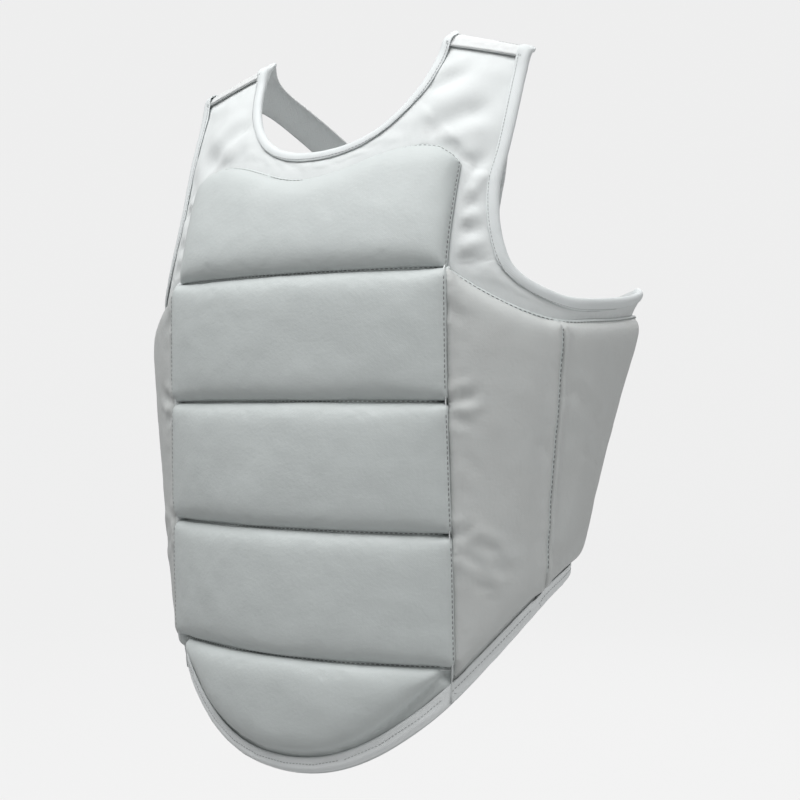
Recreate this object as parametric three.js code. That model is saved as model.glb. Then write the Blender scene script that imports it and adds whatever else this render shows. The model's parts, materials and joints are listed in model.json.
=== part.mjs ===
// Body protector: a padded and quilted chest guard that is worn like a short vest.
// Millimetres, +Z up. The wearer faces -Y, and the wearer's left is +X.
// The origin lies midway between the shoulders, level with the body under the shoulder straps.
import * as THREE from 'three';

const { lerp, clamp, degToRad } = THREE.MathUtils;

// Driving dimensions: the body that the protector lies on

const CHEST = { z: -175, halfWidth: 172, front: 95, back: 139 };
const WAIST = { z: -330, halfWidth: 152, front: 99, back: 75 };
const TAPER = { gain: 1.4, rate: 1.25 }; // how soon the girth draws in below the chest
const ROUNDNESS = { front: 2.2, back: 2.8 }; // superellipse exponents of the girth
const SIDE_LINE_Y = 14; // the widest line of the body lies this far behind the shoulder crest
const SHOULDER = { levelX: 82, slope: 0.35, blend: 40 };
const CREST_RISE = 230; // rise coordinate of the shoulder crest, counted from chest level
const UPPER_PROFILE = { chestHold: 0.25, crestHold: 0.15 }; // Bezier handles from chest to crest

// The side panels stand off the body at their upper rear corners.
const WING_FLARE = {
  reach: 21.4,
  topZ: -168,
  fade: 84, // the flare dies out over this height below and above its top
  fromTurn: degToRad(72),
  fullTurn: degToRad(115),
  toTurn: degToRad(165),
};

// Driving dimensions: cloth and padding

const FABRIC = 2.4; // two layers of cover cloth
const PAD = 14; // foam and covers in the middle of a channel
const EDGE = 3.4; // covers drawn together at a quilting seam or an open edge
const UPRIGHT_SEAM = 8.5; // the upright seams draw the foam in less
const ROLL = 15; // a pad's face rounds down to its seam over this width
const ROLL_STATIONS = [0.1, 0.35, 1];
const MOST_ROLL = 0.45; // a short pad's rolls take at most this share of its length each
const GAP = 0.3; // clearance between neighbouring pieces
const TAPE_WALL = 1.2;
const TAPE_GAP = 0.45; // the tape's clearance over the cloth that it takes in
const FLAP_EASE = 0.9; // its free edges stand off by this much more
const TAPE_WIDTH = { neck: 7, armhole: 8.5, hem: 10 };

// Driving dimensions: the outlines

const PANEL_X = 109; // half width of the centre panel
const CHANNEL_SEAMS = [-169, -254, -339, -424];
const CHEST_TOP = { middle: -104, peak: -86, peakX: 84, cornerDrop: 14, cornerPower: 2.2 };
const SIDE_TOP = { lowest: -202, turn: degToRad(76), rearRise: 12 };
const SIDE_SEAM = { topTurn: degToRad(71), topZ: -202, lowTurn: degToRad(77), lowZ: -377 };
const WING_TURN = degToRad(124); // the side panels end here and the back panel begins
const HEM = { tip: -500, rise: 126, turn: degToRad(104) };
const HEM_MARGIN = 11.5; // flat cloth that the hem tape covers
const TONGUE_MARGIN = { middle: 12.2, corner: 32, power: 4 };
const NECK = { halfWidth: 77, drop: 101 };
const LAP = { strapEnd: 0.75, yokeEnd: 0.83 }; // shares of the way from a strap's root to the crest

// Armhole edge: a row for each bend, from the crest down. Rows give x, or turn where it goes round the side.
const ARMHOLE = [
  { x: 140, crest: true },
  { x: 137, z: -78 },
  { x: 133.5, z: -114 },
  { x: 138, z: -148 },
  { x: 147, z: -171 },
  { turn: 66, z: -180.5 },
  { turn: 82, z: -187 },
  { turn: 102, z: -182 },
  { turn: 124, z: -171 },
];
const ARM_GIRTH = 150; // millimetres of armhole edge for each radian of turn

// Where the front straps leave the yoke: angle of the neckline and share of the armhole's edge.
const STRAP_ROOT = { angle: degToRad(62), share: 0.36 };

// Back straps: each narrows behind the crest, crosses to the other side and is sewn to the back panel.
const BACK_STRAP = {
  lowX: -78,
  lowZ: -240,
  width: 25,
  taper: 52, // behind the crest it has narrowed to its width after this length
  lean: degToRad(40),
  crestHold: 80, // how far its middle runs straight back from the crest
  lowHold: 90,
  rideX: 34, // one strap rides over the other within this distance of the middle
  clearance: 14, // a strap is lifted off the body this far before the panel that it laps
  ramp: 26,
};
const BACK_TOP = { middle: -222, wing: -171 };

// Drag folds of the yoke in front view: middle, direction, half length, half width and height of each.
const YOKE_FOLDS = [
  { x: 100, z: -34, angle: -12, length: 30, width: 7, height: 3.2 },
  { x: 108, z: -58, angle: -8, length: 28, width: 8, height: 4.0 },
  { x: 96, z: -74, angle: 28, length: 26, width: 7, height: 2.6 },
  { x: 120, z: -88, angle: -24, length: 20, width: 7, height: 3.6 },
  { x: 121, z: -111, angle: -10, length: 16, width: 6, height: 3.4 },
  { x: 122, z: -131, angle: 6, length: 16, width: 6, height: 3.4 },
  { x: 126, z: -152, angle: 16, length: 16, width: 6, height: 2.8 },
  { x: -98, z: -40, angle: 58, length: 34, width: 8, height: 3.0 },
  { x: -112, z: -72, angle: 62, length: 30, width: 8, height: 3.2 },
  { x: -121, z: -112, angle: 14, length: 16, width: 6, height: 3.0 },
  { x: -122, z: -136, angle: -8, length: 16, width: 6, height: 3.0 },
];

const FOLD_ROWS = [0.35, 0.7]; // rows that carry the folds, between the yoke's lower edge and its tape

// How finely each piece is divided and each search runs

const DIVISIONS = {
  channelColumns: 4,
  channelRows: 1,
  chestColumns: 16,
  chestRows: 3,
  sideColumns: 4,
  sideRows: 3,
  tongueColumns: 8,
  neckColumns: 7,
  strapColumns: 6,
  backColumns: 14,
  backRows: 6,
  backStrapColumns: 4,
  backStrapRows: 20,
};
const TAPE_STEP = { edge: 1, hem: 6 }; // least distance between a tape's sections
const GIRTH_STEPS = 12;
const SEARCH_STEPS = { halving: 40, crossing: 12 };
const MERGE_SHARE = 500; // corners within 1/500 mm of each other are one
const MIDDLE_SLACK = degToRad(0.1);
const STRAP_LEVELS = [0, 0.16, 0.32, 0.48, 0.62, LAP.strapEnd, LAP.yokeEnd, 0.92, 1];

const COLOURS = { pad: 0xd5dcdb, yoke: 0xe9eeee, back: 0xe4e9e9, strap: 0xe6eaea, tape: 0xdfe6e7 };

// The body's surface

const ease = (share) => (1 - Math.cos(Math.PI * clamp(share, 0, 1))) / 2;

function girth(z) {
  const depth = Math.max(0, (CHEST.z - z) / (CHEST.z - WAIST.z));
  const share = TAPER.gain * (1 - Math.exp(-TAPER.rate * depth * depth));
  const size = (name) => lerp(CHEST[name], WAIST[name], share);
  return { halfWidth: size('halfWidth'), front: size('front'), back: size('back') };
}

const shoulderZ = (x) =>
  SHOULDER.slope * (Math.hypot(SHOULDER.levelX, SHOULDER.blend) - Math.hypot(x, SHOULDER.blend));

// Share of the way up from chest level at a share of the rise, and of the depth still left there.
function upperHeight(share) {
  const rest = 1 - share;
  return 3 * UPPER_PROFILE.chestHold * rest * rest * share + 3 * rest * share * share + share ** 3;
}

function upperDepth(share) {
  const rest = 1 - share;
  return rest ** 3 + 3 * rest * rest * share + 3 * UPPER_PROFILE.crestHold * rest * share * share;
}

/** A turn either way round the body, counted from the front. */
const nearTurn = (turn) => Math.abs(turn > Math.PI ? turn - 2 * Math.PI : turn);

function wingFlare(turn, z) {
  const { reach, topZ, fade, fromTurn, fullTurn, toTurn } = WING_FLARE;
  const side = nearTurn(turn);
  const growing = ease((side - fromTurn) / (fullTurn - fromTurn));
  const easing = 1 - ease((side - fullTurn) / (toTurn - fullTurn));
  const below = clamp(1 + (z - topZ) / fade, 0, 1) ** 2;
  const above = 1 - ease((z - topZ) / fade);
  return reach * growing * easing * below * above;
}

/** A point of the body: turn runs round it from the front to the wearer's left, rise up from chest level. */
function bodyPoint(turn, rise) {
  const level = CHEST.z + Math.min(rise, 0);
  const { halfWidth, front, back } = girth(level);
  const [across, along] = [Math.sin(turn), Math.cos(turn)];
  const [depth, roundness] = along >= 0 ? [front, ROUNDNESS.front] : [back, ROUNDNESS.back];
  const rounded = (part) => Math.sign(part) * Math.abs(part) ** (2 / roundness);
  const x = halfWidth * rounded(across);
  const y = SIDE_LINE_Y - depth * rounded(along);
  const share = clamp(rise / CREST_RISE, 0, 1);
  const z = lerp(level, shoulderZ(x), upperHeight(share));
  const flare = wingFlare(turn, z);
  return new THREE.Vector3(x + flare * across, y * upperDepth(share) - flare * along, z);
}

/** The body's point and outward normal at a station. */
function bodyAt({ turn, rise }) {
  const [turnStep, riseStep] = [1e-3, 0.5];
  const point = bodyPoint(turn, rise);
  const across = bodyPoint(turn + turnStep, rise).sub(bodyPoint(turn - turnStep, rise));
  const up = point.clone().sub(bodyPoint(turn, rise - riseStep));
  return { point, normal: across.cross(up).normalize() };
}

/** The rise of height z on the upright line that stands at x on chest level. */
function riseOf(x, z) {
  if (z <= CHEST.z) return z - CHEST.z;
  const wanted = (z - CHEST.z) / (shoulderZ(x) - CHEST.z);
  let [low, high] = [0, 1];
  for (let step = 0; step < SEARCH_STEPS.halving; step++) {
    const middle = (low + high) / 2;
    if (upperHeight(middle) < wanted) low = middle;
    else high = middle;
  }
  return low * CREST_RISE;
}

/** The turn at which the girth of a level passes x, before or behind the side line. */
function turnOf(x, rise, behind = false) {
  const roundness = behind ? ROUNDNESS.back : ROUNDNESS.front;
  const share = Math.min(Math.abs(x) / girth(CHEST.z + Math.min(rise, 0)).halfWidth, 1);
  const turn = Math.sign(x) * Math.asin(share ** (roundness / 2));
  return behind ? Math.PI - turn : turn;
}

function stationAtX(x, z) {
  const rise = riseOf(x, z);
  return { x, turn: turnOf(x, rise), rise };
}

function stationAtTurn(turn, z) {
  const x = bodyPoint(turn, Math.min(z - CHEST.z, 0)).x;
  return { x, turn, rise: riseOf(x, z) };
}

const mixStations = (a, b, share) => ({
  turn: lerp(a.turn, b.turn, share),
  rise: lerp(a.rise, b.rise, share),
});

// Outlines

const hemZ = (turn) => HEM.tip + HEM.rise * ease(Math.abs(turn) / HEM.turn);

function hemSlope(turn) {
  const step = degToRad(0.5);
  const [before, after] = [turn - step, turn + step].map((at) => bodyPoint(at, hemZ(at) - CHEST.z));
  return (after.z - before.z) / Math.hypot(after.x - before.x, after.y - before.y);
}

const hemMargin = (turn) => HEM_MARGIN * Math.hypot(1, hemSlope(turn));

function chestTopZ(x) {
  const { middle, peak, peakX, cornerDrop, cornerPower } = CHEST_TOP;
  if (Math.abs(x) < peakX) return lerp(middle, peak, ease(Math.abs(x) / peakX));
  return peak - cornerDrop * ((Math.abs(x) - peakX) / (PANEL_X - peakX)) ** cornerPower;
}

const panelTurn = (z) => stationAtX(PANEL_X, z).turn;

function sideTopZ(turn) {
  const { lowest, rearRise } = SIDE_TOP;
  if (turn > SIDE_TOP.turn) {
    return lowest + rearRise * ease((turn - SIDE_TOP.turn) / (WING_TURN - SIDE_TOP.turn));
  }
  const share = (SIDE_TOP.turn - turn) / (SIDE_TOP.turn - panelTurn(CHANNEL_SEAMS[0]));
  return lowest + (CHANNEL_SEAMS[0] - lowest) * share * share;
}

function sideSeamTurn(z) {
  const { topTurn, topZ, lowTurn, lowZ } = SIDE_SEAM;
  return lerp(topTurn, lowTurn, (z - topZ) / (lowZ - topZ));
}

/** The neckline: angle 0 is its middle and a quarter turn is the shoulder crest. */
function neckStation(angle) {
  const x = NECK.halfWidth * Math.sin(angle);
  return stationAtX(x, shoulderZ(x) - NECK.drop * Math.cos(angle));
}

/** The armhole's edge as a curve of stations through the rows of its table. */
function armholeCurve() {
  const points = ARMHOLE.map(({ x, z, turn, crest }) => {
    const station =
      turn === undefined ? stationAtX(x, crest ? shoulderZ(x) : z) : stationAtTurn(degToRad(turn), z);
    return new THREE.Vector2(ARM_GIRTH * station.turn, station.rise);
  });
  const curve = new THREE.SplineCurve(points);
  return (share) => {
    const { x: girthAlong, y: rise } = curve.getPointAt(share);
    const turn = girthAlong / ARM_GIRTH;
    return { turn, rise: Math.min(rise, CREST_RISE), x: bodyPoint(turn, Math.min(rise, 0)).x };
  };
}

const armhole = armholeCurve();

function backTopZ(turn) {
  return lerp(BACK_TOP.wing, BACK_TOP.middle, ease((Math.abs(turn) - WING_TURN) / (Math.PI - WING_TURN)));
}

// Solids

function solid(positions, triangles) {
  const geometry = new THREE.BufferGeometry();
  geometry.setAttribute('position', new THREE.Float32BufferAttribute(positions, 3));
  geometry.setIndex(triangles);
  geometry.computeVertexNormals();
  return geometry;
}

/** The same solid for the wearer's other side. */
function mirrored(geometry) {
  const other = geometry.clone().scale(-1, 1, 1);
  const corners = other.index.array;
  for (let i = 0; i < corners.length; i += 3) {
    [corners[i + 1], corners[i + 2]] = [corners[i + 2], corners[i + 1]];
  }
  other.computeVertexNormals();
  return other;
}

/** Cloth on the body: patches of stations, thickened outwards into one closed solid. */
class Sheet {
  constructor() {
    this.corners = [];
    this.numbers = new Map();
    this.quads = [];
  }

  number(station) {
    const { point, normal } = bodyAt(station);
    const key = point.toArray().map((value) => Math.round(value * MERGE_SHARE)).join();
    if (!this.numbers.has(key)) {
      const { lift = 0, thickness = FABRIC } = station;
      const under = point.clone().addScaledVector(normal, lift);
      const over = point.addScaledVector(normal, lift + thickness);
      this.numbers.set(key, this.corners.push({ under, over }) - 1);
    }
    return this.numbers.get(key);
  }

  /** A patch whose columns run towards the wearer's left, seen from the front, and whose rows run up. */
  patch(columns, rows, stationAt) {
    const grid = Array.from({ length: columns + 1 }, (_, i) =>
      Array.from({ length: rows + 1 }, (_, j) => this.number(stationAt(i, j))));
    for (let i = 0; i < columns; i++) {
      for (let j = 0; j < rows; j++) {
        this.quads.push([grid[i][j], grid[i + 1][j], grid[i + 1][j + 1], grid[i][j + 1]]);
      }
    }
    return this;
  }

  geometry() {
    const count = this.corners.length;
    const positions = ['over', 'under'].flatMap((face) => this.corners.flatMap((c) => c[face].toArray()));
    const triangles = [];
    const edges = new Map();
    for (const quad of this.quads) {
      const [a, b, c, d] = quad;
      triangles.push(a, b, c, a, c, d);
      triangles.push(a + count, c + count, b + count, a + count, d + count, c + count);
      quad.forEach((from, k) => edges.set(from + '>' + quad[(k + 1) % 4], [from, quad[(k + 1) % 4]]));
    }
    for (const [from, to] of edges.values()) {
      if (edges.has(to + '>' + from)) continue;
      triangles.push(to, from, from + count, to, from + count, to + count);
    }
    return solid(positions, triangles);
  }
}

/** Distances at which a pad of some length has stations, closer together where its face rounds down. */
function padStations(length, flat, middle) {
  const reach = Math.min(ROLL, MOST_ROLL * (length - flat));
  const rolled = ROLL_STATIONS.map((share) => share * reach);
  const [from, to] = [flat + reach, length - reach];
  const between = Array.from({ length: middle - 1 }, (_, i) => lerp(from, to, (i + 1) / middle));
  const start = flat > 0 ? [GAP / 2, flat] : [GAP / 2];
  const end = rolled.slice(0, -1).reverse().map((step) => length - step);
  return [...start, ...rolled.map((step) => flat + step), ...between, to, ...end, length - GAP / 2];
}

/** How far a pad's face has sunk at some distance from a seam. */
function sunk(distance, reach, drop) {
  const share = clamp(distance / reach, 0, 1);
  return drop * (1 - Math.sqrt(1 - (1 - share) ** 2));
}

/** A foam pad. stationAt(share across, z) places it, and its ends follow bottom(share) and top(share). */
function pad({ width, columns, rows, stationAt, bottom, top, margin = () => 0, sides }) {
  const across = padStations(width, 0, columns);
  const heights = across.map((distance) => {
    const share = distance / width;
    const length = top(share) - bottom(share);
    return { length, flat: Math.min(margin(share), length - FABRIC), base: bottom(share) };
  });
  const along = heights.map(({ length, flat }) => padStations(length, flat, rows));
  const sheet = new Sheet().patch(across.length - 1, along[0].length - 1, (i, j) => {
    const { length, flat, base } = heights[i];
    const distance = along[i][j];
    const reach = Math.min(ROLL, MOST_ROLL * (length - flat));
    const depth = Math.min(PAD - EDGE, reach);
    const drop = Math.max(
      sunk(across[i], ROLL, PAD - sides.first),
      sunk(width - across[i], ROLL, PAD - sides.last),
      PAD - EDGE - depth + sunk(distance - flat, reach, depth),
      PAD - EDGE - depth + sunk(length - distance, reach, depth),
    );
    return { ...stationAt(across[i] / width, base + distance), thickness: PAD - drop };
  });
  const shares = across.map((distance) => distance / width);
  const lastHeights = along.at(-1).map((distance) => heights.at(-1).base + distance);
  return { geometry: sheet.geometry(), shares, lastHeights };
}

// Triangles that close the end of a folded tape, over the corners of its section.
const TAPE_END = [[0, 1, 2], [0, 2, 8], [8, 2, 3], [8, 3, 7], [7, 3, 4], [7, 4, 5], [7, 5, 6]];

/** Tape folded over a run of edge stations, each with a station for the tape's flap. */
function tape(edge, { outward, closed }) {
  const path = edge.map((station) => ({ ...bodyAt(station), ...station }));
  const count = path.length;
  const neighbour = (i) => path[closed ? (i + count) % count : clamp(i, 0, count - 1)].point;
  const positions = [];
  path.forEach(({ point, normal, flapStation, lift = 0, thickness = FABRIC }, i) => {
    const along = neighbour(i + 1).clone().sub(neighbour(i - 1)).normalize();
    const out = normal.clone().cross(along).multiplyScalar(outward).normalize();
    const flap = bodyAt(flapStation);
    const [low, high] = [lift - TAPE_GAP, lift + thickness + TAPE_GAP];
    const atFlap = (up) => flap.point.clone().addScaledVector(flap.normal, up);
    const atEdge = (past, up) => point.clone().addScaledVector(out, past).addScaledVector(normal, up);
    const section = [
      atFlap(high + FLAP_EASE),
      atFlap(high + FLAP_EASE + TAPE_WALL),
      atEdge(0, high + TAPE_WALL),
      atEdge(TAPE_GAP + TAPE_WALL, (low + high) / 2),
      atEdge(0, low - TAPE_WALL),
      atFlap(low - FLAP_EASE - TAPE_WALL),
      atFlap(low - FLAP_EASE),
      atEdge(TAPE_GAP, low),
      atEdge(TAPE_GAP, high),
    ];
    positions.push(...section.flatMap((corner) => corner.toArray()));
  });
  const sides = positions.length / 3 / count;
  const faces = [];
  for (let i = 0; i < (closed ? count : count - 1); i++) {
    const [here, next] = [i * sides, ((i + 1) % count) * sides];
    for (let k = 0; k < sides; k++) {
      const after = (k + 1) % sides;
      faces.push([here + k, next + after, here + after], [here + k, next + k, next + after]);
    }
  }
  if (!closed) {
    const last = (count - 1) * sides;
    faces.push(...TAPE_END, ...TAPE_END.map(([a, b, c]) => [last + a, last + c, last + b]));
  }
  return solid(positions, faces.flatMap(([a, b, c]) => (outward > 0 ? [a, b, c] : [a, c, b])));
}

// Pads

/** The height at which an outline crosses a line of stations that leans as it goes down. */
function meet(outline, turnAtHeight, start) {
  let z = start;
  for (let step = 0; step < SEARCH_STEPS.crossing; step++) {
    z = outline(turnAtHeight(z));
  }
  return z;
}

const panelXAt = (share) => lerp(-PANEL_X, PANEL_X, share);
const centreStation = (share, z) => stationAtX(panelXAt(share), z);
const tongueHemZ = (share) => meet(hemZ, (z) => centreStation(share, z).turn, HEM.tip);
const tongueMargin = (share) =>
  lerp(TONGUE_MARGIN.middle, TONGUE_MARGIN.corner, Math.abs(2 * share - 1) ** TONGUE_MARGIN.power);

const centrePanel = { width: 2 * PANEL_X, stationAt: centreStation };
const uprightSides = { first: UPRIGHT_SEAM, last: UPRIGHT_SEAM };

const chest = pad({
  ...centrePanel,
  columns: DIVISIONS.chestColumns,
  rows: DIVISIONS.chestRows,
  bottom: () => CHANNEL_SEAMS[0],
  top: (share) => chestTopZ(panelXAt(share)),
  sides: { first: EDGE, last: EDGE },
});

const channel = (above) => pad({
  ...centrePanel,
  columns: DIVISIONS.channelColumns,
  rows: DIVISIONS.channelRows,
  bottom: () => CHANNEL_SEAMS[above + 1],
  top: () => CHANNEL_SEAMS[above],
  sides: uprightSides,
});

const tongue = pad({
  ...centrePanel,
  columns: DIVISIONS.tongueColumns,
  rows: DIVISIONS.channelRows,
  bottom: tongueHemZ,
  top: () => CHANNEL_SEAMS.at(-1),
  margin: tongueMargin,
  sides: uprightSides,
});

/** A side pad between two upright lines, each a turn for every height. */
function sidePad(firstTurn, lastTurn, sides) {
  const turnAt = (share, z) => lerp(firstTurn(z), lastTurn(z), share);
  const bottom = (share) => meet(hemZ, (z) => turnAt(share, z), WAIST.z);
  const top = (share) => meet(sideTopZ, (z) => turnAt(share, z), CHEST.z);
  const rise = WAIST.z - CHEST.z;
  const arc = Array.from({ length: GIRTH_STEPS + 1 }, (_, i) =>
    bodyPoint(turnAt(i / GIRTH_STEPS, WAIST.z), rise));
  const width = arc.slice(1).reduce((sum, point, i) => sum + point.distanceTo(arc[i]), 0);
  const made = pad({
    width,
    columns: DIVISIONS.sideColumns,
    rows: DIVISIONS.sideRows,
    stationAt: (share, z) => stationAtTurn(turnAt(share, z), z),
    bottom,
    top,
    margin: (share) => hemMargin(turnAt(share, bottom(share))),
    sides,
  });
  const topEdge = made.shares.map((share) => turnAt(share, top(share)));
  const hemEdge = made.shares.map((share) => turnAt(share, bottom(share)));
  return { ...made, topEdge, hemEdge };
}

const frontSide = sidePad(panelTurn, sideSeamTurn, uprightSides);
const rearSide = sidePad(sideSeamTurn, () => WING_TURN, { first: UPRIGHT_SEAM, last: EDGE });

// Yoke

const mirrorStation = (station) => ({ ...station, turn: -station.turn, x: -station.x });
const stationGap = (a, b) => bodyPoint(a.turn, a.rise).distanceTo(bodyPoint(b.turn, b.rise));
const wingGap = degToRad(0.27); // the yoke, the back panel and the rear pads stay apart by this turn
const tapeClear = TAPE_WIDTH.armhole + 2 * GAP;

/** A place on a front strap: share 0 is its neck edge, 1 its armhole edge, level 0 its root, 1 the crest. */
function strapStation(share, level) {
  const inner = neckStation(lerp(STRAP_ROOT.angle, Math.PI / 2, level));
  const outer = armhole(lerp(STRAP_ROOT.share, 0, level));
  const [x, rise] = [lerp(inner.x, outer.x, share), lerp(inner.rise, outer.rise, share)];
  return { x, rise, turn: turnOf(x, rise) };
}

/** Running length along stations, as a share of the whole. */
function lengthShares(stations) {
  const lengths = [0];
  stations.slice(1).forEach((station, i) => lengths.push(lengths[i] + stationGap(station, stations[i])));
  return lengths.map((length) => length / lengths.at(-1));
}

/** The yoke's lower edge from the middle to the wearer's left, over the chest pad and the side. */
function yokeLower() {
  const xs = chest.shares.map(panelXAt).filter((x) => x > -GAP);
  const besideX = PANEL_X + GAP / 2;
  const sideHeights = [...chest.lastHeights].reverse().slice(1, -1);
  const turns = [...frontSide.topEdge.slice(0, -1), ...rearSide.topEdge.slice(0, -1), WING_TURN - wingGap];
  return [
    ...xs.map((x) => stationAtX(x, chestTopZ(x) + GAP / 2)),
    stationAtX(besideX, chestTopZ(PANEL_X)),
    ...sideHeights.map((z) => stationAtX(besideX, z)),
    ...turns.map((turn) => stationAtTurn(turn, sideTopZ(turn) + GAP / 2)),
  ];
}

/** The yoke's upper edge over its lower one: neckline, then strap root, then armhole. */
function yokeUpper(lower) {
  const { neckColumns, strapColumns } = DIVISIONS;
  const armStart = neckColumns + strapColumns;
  const armShares = lengthShares(lower.slice(armStart));
  return lower.map((_, k) => {
    if (k < neckColumns) return neckStation((STRAP_ROOT.angle * k) / neckColumns);
    if (k < armStart) return strapStation((k - neckColumns) / strapColumns, 0);
    const edge = armhole(lerp(STRAP_ROOT.share, 1, armShares[k - armStart]));
    return k < lower.length - 1 ? edge : { ...edge, turn: lower[k].turn };
  });
}

const yokeLow = yokeLower();
const yokeHigh = yokeUpper(yokeLow);

/** Height of the yoke's drag folds at a place. */
function foldLift(station) {
  const { x, z } = bodyPoint(station.turn, station.rise);
  return YOKE_FOLDS.reduce((sum, fold) => {
    const angle = degToRad(fold.angle);
    const along = (x - fold.x) * Math.cos(angle) + (z - fold.z) * Math.sin(angle);
    const across = (z - fold.z) * Math.cos(angle) - (x - fold.x) * Math.sin(angle);
    return sum + fold.height * Math.exp(-((along / fold.length) ** 2) - (across / fold.width) ** 2);
  }, 0);
}

/** Folds die out before the tape at a strap's edges and before the lap at its end. */
function strapFoldShare(share, level) {
  const clear = 1 / DIVISIONS.strapColumns;
  const edge = Math.min(share, 1 - share) - clear;
  return clamp(edge / clear, 0, 1) * ease((LAP.strapEnd - level) / LAP.strapEnd);
}

function yokeColumn(low, high, k) {
  const inside = 1 - tapeClear / stationGap(low, high);
  const strapShare = clamp((k - DIVISIONS.neckColumns) / DIVISIONS.strapColumns, 0, 1);
  const rootFold = strapFoldShare(strapShare, 0);
  const rows = [
    { share: 0, fold: 0 },
    ...FOLD_ROWS.map((row) => ({ share: inside * row, fold: 1 })),
    { share: inside, fold: rootFold },
    { share: 1, fold: rootFold },
  ];
  return rows.map(({ share, fold }) => ({ ...mixStations(low, high, share), fold }));
}

function yokeGeometry() {
  const sheet = new Sheet();
  const columns = yokeLow.map((low, k) => yokeColumn(low, yokeHigh[k], k));
  const otherSide = columns.slice(1).reverse().map((rows) => rows.map(mirrorStation));
  const all = [...otherSide, ...columns];
  const folded = (station) => ({ ...station, lift: station.fold * foldLift(station) });
  sheet.patch(all.length - 1, all[0].length - 1, (i, j) => folded(all[i][j]));
  const levels = STRAP_LEVELS.filter((level) => level <= LAP.yokeEnd);
  const count = DIVISIONS.strapColumns;
  const strap = (share, level) => ({ ...strapStation(share, level), fold: strapFoldShare(share, level) });
  sheet.patch(count, levels.length - 1, (i, j) => folded(strap(i / count, levels[j])));
  sheet.patch(count, levels.length - 1, (i, j) => folded(mirrorStation(strap(1 - i / count, levels[j]))));
  return sheet.geometry();
}

// Back panel and back straps

const backTurns = Array.from({ length: DIVISIONS.backColumns + 1 }, (_, i) =>
  lerp(WING_TURN + wingGap, 2 * Math.PI - WING_TURN - wingGap, i / DIVISIONS.backColumns));

/** A turn past the middle of the back, counted from the other side instead. */
function backGeometry() {
  const rows = DIVISIONS.backRows;
  return new Sheet().patch(backTurns.length - 1, rows + 1, (i, j) => {
    const near = nearTurn(backTurns[i]);
    const [low, high] = [hemZ(near) + GAP / 2, backTopZ(near)];
    const z = j === 0 ? low : lerp(low + HEM_MARGIN, high, (j - 1) / rows);
    return stationAtTurn(backTurns[i], z);
  }).geometry();
}

const liftedBy = (level) => (FABRIC + GAP) * (1 - ease((level - LAP.yokeEnd) / (1 - LAP.yokeEnd)));

/** The middle of the wearer's left back strap behind the crest, as a curve in x and rise. */
function backStrapMiddle() {
  const { lowX, lowZ, lean, crestHold, lowHold } = BACK_STRAP;
  const { x } = strapStation(0.5, 1);
  const lowRise = lowZ - CHEST.z;
  return new THREE.CubicBezierCurve(
    new THREE.Vector2(x, CREST_RISE),
    new THREE.Vector2(x, CREST_RISE - crestHold),
    new THREE.Vector2(lowX + lowHold * Math.sin(lean), lowRise + lowHold * Math.cos(lean)),
    new THREE.Vector2(lowX, lowRise),
  );
}

/** A place across a back strap, from its neck side to its arm side, at a share of its way down. */
function backStrapPlace(middle, share, way) {
  const crestWidth = strapStation(1, 1).x - strapStation(0, 1).x;
  const narrowed = ease((way * middle.getLength()) / BACK_STRAP.taper);
  const offset = (share - 0.5) * lerp(crestWidth, BACK_STRAP.width, narrowed);
  const { x: downX, y: downRise } = middle.getTangentAt(way);
  const { x, y: rise } = middle.getPointAt(way);
  return { x: x - offset * downRise, rise: rise + offset * downX };
}

/** A back strap from its lap on the yoke over the crest to the back panel. It may ride over the other. */
function backStrapGeometry(ridesOver) {
  const middle = backStrapMiddle();
  const front = STRAP_LEVELS.filter((level) => level >= LAP.strapEnd);
  const { backStrapColumns: columns, backStrapRows: rows } = DIVISIONS;
  const { rideX, clearance, ramp } = BACK_STRAP;
  return new Sheet().patch(columns, front.length - 1 + rows, (i, j) => {
    const share = i / columns;
    if (j < front.length) return { ...strapStation(share, front[j]), lift: liftedBy(front[j]) };
    const way = (j - front.length + 1) / rows;
    const { x, rise } = backStrapPlace(middle, share, way);
    const turn = turnOf(x, rise, true);
    const abovePanel = CHEST.z + rise - backTopZ(nearTurn(turn));
    const lap = 1 - ease((abovePanel - clearance) / ramp);
    const ride = ridesOver ? 1 - ease((Math.abs(x) - rideX) / ramp) : 0;
    return { turn, rise, lift: (FABRIC + 2 * GAP) * Math.max(lap, ride) };
  }).geometry();
}

// Bindings

/** What the tape takes in at a level of the shoulder: one layer, or both where they lap. */
function lapLayers(level) {
  if (level < LAP.strapEnd) return {};
  if (level <= LAP.yokeEnd) return { thickness: 2 * FABRIC + GAP };
  return { lift: liftedBy(level) };
}

/** One edge of a front strap, from its root to the crest. Share 0 is the neck's edge. */
function strapEdge(share, width) {
  return STRAP_LEVELS.map((level) => {
    const edge = strapStation(share, level);
    const flapShare = width / stationGap(edge, strapStation(1 - share, level));
    const flapStation = strapStation(Math.abs(share - flapShare), level);
    return { ...edge, flapStation, ...lapLayers(level) };
  });
}

/** The upper edge of some of the yoke's columns. */
function yokeEdge(width, from, to) {
  return yokeHigh.slice(from, to).map((high, i) => {
    const low = yokeLow[from + i];
    return { ...high, flapStation: mixStations(high, low, width / stationGap(low, high)) };
  });
}

/** Drops stations that come too close after another. */
function spaced(stations, least) {
  const kept = [stations[0]];
  for (const station of stations.slice(1)) {
    if (stationGap(station, kept.at(-1)) >= least) kept.push(station);
  }
  return kept;
}

const mirrorEdge = (edge) => ({ ...mirrorStation(edge), flapStation: mirrorStation(edge.flapStation) });

function neckTape() {
  const width = TAPE_WIDTH.neck;
  const edge = [...yokeEdge(width, 0, DIVISIONS.neckColumns), ...strapEdge(0, width)];
  const half = spaced(edge, TAPE_STEP.edge);
  return tape([...half.slice(1).reverse().map(mirrorEdge), ...half], { outward: 1, closed: false });
}

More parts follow.
